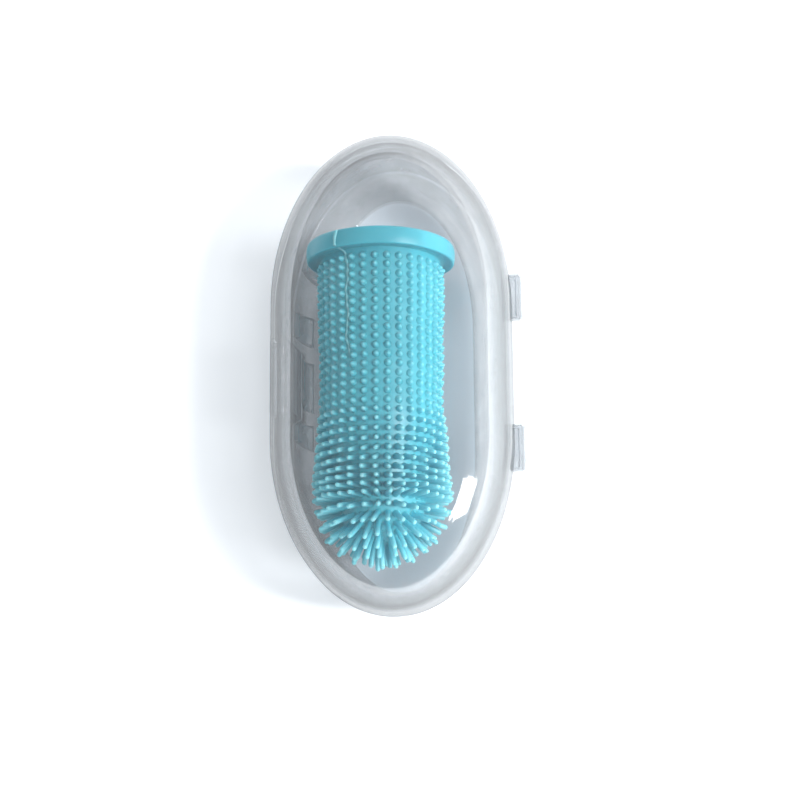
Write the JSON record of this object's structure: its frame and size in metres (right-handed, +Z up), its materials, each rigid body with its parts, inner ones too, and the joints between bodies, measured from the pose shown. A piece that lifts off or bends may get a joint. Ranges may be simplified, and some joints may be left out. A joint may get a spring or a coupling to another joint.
{
  "type": "finger toothbrush",
  "caption": "Soft silicone finger toothbrush for pets, with nubs along the sleeve and long bristles at the tip, lying in a clear oval case with a hinged snap lid.",
  "frame": {"origin": "middle of the flat underside of the case", "axes": "+Z up, +Y along the case towards the brush's open cuff, +X towards the hinges, the latch on -X"},
  "size_m": [0.0422, 0.08, 0.029],
  "materials": {
    "clear_pp": "clear, slightly frosted polypropylene",
    "cyan_silicone": "soft satin silicone"
  },
  "bodies": {
    "base": {"base_shell": "clear_pp", "seal_lip": "clear_pp", "catch_bead": "clear_pp", "rest_pads": "clear_pp", "base_hinge_leaves": "clear_pp", "hinge_films": "clear_pp"},
    "lid": {"lid_shell": "clear_pp", "lid_hinge_leaves": "clear_pp"},
    "latch": {"latch_tab": "clear_pp"},
    "brush": {"brush_sleeve": "cyan_silicone", "brush_cuff": "cyan_silicone", "massage_nubs": "cyan_silicone", "side_bristles": "cyan_silicone", "tip_bristles": "cyan_silicone"}
  },
  "joints": [
    {"name": "lid_hinge", "type": "hinge", "parent": "base", "child": "lid", "pos_m": [0.0214, 0, 0.0145], "axis": [0, 1, 0], "range_deg": [0, 180], "deforming": ["hinge_films"]},
    {"name": "latch_flex", "type": "hinge", "parent": "lid", "child": "latch", "pos_m": [-0.02, 0, 0.0166], "axis": [0, 1, 0], "range_deg": [0, 12], "stiffness_Nm_per_rad": 0.05},
    {"name": "brush_lift", "type": "slide", "parent": "base", "child": "brush", "axis": [0, 0, 1], "range_m": [0, 0.0301]}
  ],
  "couplings": [
    {"joint": "brush_lift", "follows": "lid_hinge", "m_per_rad": 0.0095493}
  ]
}
